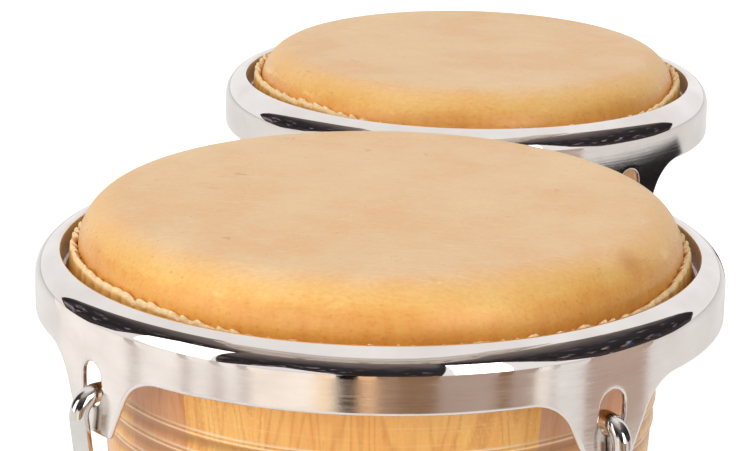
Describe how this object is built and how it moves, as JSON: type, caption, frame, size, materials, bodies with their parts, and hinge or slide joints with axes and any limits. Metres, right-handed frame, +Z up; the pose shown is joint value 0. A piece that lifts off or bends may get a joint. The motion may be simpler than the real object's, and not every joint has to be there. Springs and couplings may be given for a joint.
{
  "type": "bongo drums",
  "caption": "Pair of hand drums of unlike size on a wooden centre block, with rawhide heads, chromed rims with slotted lugs, and hooked tension rods with nuts.",
  "frame": {"origin": "middle of the pair's footprint, on the surface that the drums stand on", "axes": "+X from the smaller drum to the larger, along the pair; +Y across the pair; +Z up, along both drums' axes"},
  "size_m": [0.5024, 0.2574, 0.1701],
  "materials": {
    "lacquered_wood": "glossy clear lacquer over pale golden staves",
    "block_wood": "satin clear lacquer",
    "rawhide": "scraped rawhide, smooth, faintly stained",
    "chrome": "polished, lightly brushed on the rim's skirt",
    "zinc_steel": "zinc plated",
    "brass": "turned"
  },
  "bodies": {
    "drums": {"hembra_shell": "lacquered_wood", "hembra_head": "rawhide", "hembra_flesh_hoop": "zinc_steel", "hembra_bottom_ring": "chrome", "hembra_washer_1": "zinc_steel", "hembra_washer_2": "zinc_steel", "hembra_washer_3": "zinc_steel", "hembra_washer_4": "zinc_steel", "hembra_backing_plate": "zinc_steel", "hembra_block_bolt_lower": "zinc_steel", "hembra_block_bolt_upper": "zinc_steel", "hembra_block_insert_lower": "brass", "hembra_block_insert_upper": "brass", "macho_shell": "lacquered_wood", "macho_head": "rawhide", "macho_flesh_hoop": "zinc_steel", "macho_bottom_ring": "chrome", "macho_washer_1": "zinc_steel", "macho_washer_2": "zinc_steel", "macho_washer_3": "zinc_steel", "macho_washer_4": "zinc_steel", "macho_backing_plate": "zinc_steel", "macho_block_bolt_lower": "zinc_steel", "macho_block_bolt_upper": "zinc_steel", "macho_block_insert_lower": "brass", "macho_block_insert_upper": "brass", "centre_block": "block_wood"},
    "hembra_rim": {"hembra_rim": "chrome"},
    "hembra_rod_1": {"hembra_tension_rod_1": "chrome"},
    "hembra_rod_2": {"hembra_tension_rod_2": "chrome"},
    "hembra_rod_3": {"hembra_tension_rod_3": "chrome"},
    "hembra_rod_4": {"hembra_tension_rod_4": "chrome"},
    "hembra_nut_1": {"hembra_tuning_nut_1": "chrome"},
    "hembra_nut_2": {"hembra_tuning_nut_2": "chrome"},
    "hembra_nut_3": {"hembra_tuning_nut_3": "chrome"},
    "hembra_nut_4": {"hembra_tuning_nut_4": "chrome"},
    "macho_rim": {"macho_rim": "chrome"},
    "macho_rod_1": {"macho_tension_rod_1": "chrome"},
    "macho_rod_2": {"macho_tension_rod_2": "chrome"},
    "macho_rod_3": {"macho_tension_rod_3": "chrome"},
    "macho_rod_4": {"macho_tension_rod_4": "chrome"},
    "macho_nut_1": {"macho_tuning_nut_1": "chrome"},
    "macho_nut_2": {"macho_tuning_nut_2": "chrome"},
    "macho_nut_3": {"macho_tuning_nut_3": "chrome"},
    "macho_nut_4": {"macho_tuning_nut_4": "chrome"}
  },
  "joints": [
    {"name": "hembra_tuning", "type": "slide", "parent": "drums", "child": "hembra_rim", "axis": [0, 0, 1], "range_m": [0, 0.005]},
    {"name": "hembra_rod_1_draw", "type": "slide", "parent": "drums", "child": "hembra_rod_1", "axis": [0.0857, 0.0925, 0.992], "range_m": [0, 0.00505]},
    {"name": "hembra_rod_2_draw", "type": "slide", "parent": "drums", "child": "hembra_rod_2", "axis": [-0.0925, 0.0857, 0.992], "range_m": [0, 0.00505]},
    {"name": "hembra_rod_3_draw", "type": "slide", "parent": "drums", "child": "hembra_rod_3", "axis": [-0.0857, -0.0925, 0.992], "range_m": [0, 0.00505]},
    {"name": "hembra_rod_4_draw", "type": "slide", "parent": "drums", "child": "hembra_rod_4", "axis": [0.0925, -0.0857, 0.992], "range_m": [0, 0.00505]},
    {"name": "hembra_nut_1_turn", "type": "hinge", "parent": "drums", "child": "hembra_nut_1", "pos_m": [0.20571, 0.08986, 0.021], "axis": [0.0857, 0.0925, 0.992], "range_deg": [-1460, 0]},
    {"name": "hembra_nut_2_turn", "type": "hinge", "parent": "drums", "child": "hembra_nut_2", "pos_m": [0.03264, 0.08321, 0.021], "axis": [-0.0925, 0.0857, 0.992], "range_deg": [-1460, 0]},
    {"name": "hembra_nut_3_turn", "type": "hinge", "parent": "drums", "child": "hembra_nut_3", "pos_m": [0.03929, -0.08986, 0.021], "axis": [-0.0857, -0.0925, 0.992], "range_deg": [-1460, 0]},
    {"name": "hembra_nut_4_turn", "type": "hinge", "parent": "drums", "child": "hembra_nut_4", "pos_m": [0.21236, -0.08321, 0.021], "axis": [0.0925, -0.0857, 0.992], "range_deg": [-1460, 0]},
    {"name": "macho_tuning", "type": "slide", "parent": "drums", "child": "macho_rim", "axis": [0, 0, 1], "range_m": [0, 0.005]},
    {"name": "macho_rod_1_draw", "type": "slide", "parent": "drums", "child": "macho_rod_1", "axis": [0.0812, 0.0877, 0.9928], "range_m": [0, 0.00505]},
    {"name": "macho_rod_2_draw", "type": "slide", "parent": "drums", "child": "macho_rod_2", "axis": [-0.0877, 0.0812, 0.9928], "range_m": [0, 0.00505]},
    {"name": "macho_rod_3_draw", "type": "slide", "parent": "drums", "child": "macho_rod_3", "axis": [-0.0812, -0.0877, 0.9928], "range_m": [0, 0.00505]},
    {"name": "macho_rod_4_draw", "type": "slide", "parent": "drums", "child": "macho_rod_4", "axis": [0.0877, -0.0812, 0.9928], "range_m": [0, 0.00505]},
    {"name": "macho_nut_1_turn", "type": "hinge", "parent": "drums", "child": "macho_nut_1", "pos_m": [-0.06851, 0.07709, 0.021], "axis": [0.0812, 0.0877, 0.9928], "range_deg": [-1460, 0]},
    {"name": "macho_nut_2_turn", "type": "hinge", "parent": "drums", "child": "macho_nut_2", "pos_m": [-0.21699, 0.07139, 0.021], "axis": [-0.0877, 0.0812, 0.9928], "range_deg": [-1460, 0]},
    {"name": "macho_nut_3_turn", "type": "hinge", "parent": "drums", "child": "macho_nut_3", "pos_m": [-0.21129, -0.07709, 0.021], "axis": [-0.0812, -0.0877, 0.9928], "range_deg": [-1460, 0]},
    {"name": "macho_nut_4_turn", "type": "hinge", "parent": "drums", "child": "macho_nut_4", "pos_m": [-0.06281, -0.07139, 0.021], "axis": [0.0877, -0.0812, 0.9928], "range_deg": [-1460, 0]}
  ],
  "couplings": [
    {"joint": "hembra_rod_1_draw", "follows": "hembra_tuning", "ratio": 1.008},
    {"joint": "hembra_rod_2_draw", "follows": "hembra_tuning", "ratio": 1.008},
    {"joint": "hembra_rod_3_draw", "follows": "hembra_tuning", "ratio": 1.008},
    {"joint": "hembra_rod_4_draw", "follows": "hembra_tuning", "ratio": 1.008},
    {"joint": "hembra_nut_1_turn", "follows": "hembra_tuning", "rad_per_m": -5067},
    {"joint": "hembra_nut_2_turn", "follows": "hembra_tuning", "rad_per_m": -5067},
    {"joint": "hembra_nut_3_turn", "follows": "hembra_tuning", "rad_per_m": -5067},
    {"joint": "hembra_nut_4_turn", "follows": "hembra_tuning", "rad_per_m": -5067},
    {"joint": "macho_rod_1_draw", "follows": "macho_tuning", "ratio": 1.0072},
    {"joint": "macho_rod_2_draw", "follows": "macho_tuning", "ratio": 1.0072},
    {"joint": "macho_rod_3_draw", "follows": "macho_tuning", "ratio": 1.0072},
    {"joint": "macho_rod_4_draw", "follows": "macho_tuning", "ratio": 1.0072},
    {"joint": "macho_nut_1_turn", "follows": "macho_tuning", "rad_per_m": -5062.8},
    {"joint": "macho_nut_2_turn", "follows": "macho_tuning", "rad_per_m": -5062.8},
    {"joint": "macho_nut_3_turn", "follows": "macho_tuning", "rad_per_m": -5062.8},
    {"joint": "macho_nut_4_turn", "follows": "macho_tuning", "rad_per_m": -5062.8}
  ]
}
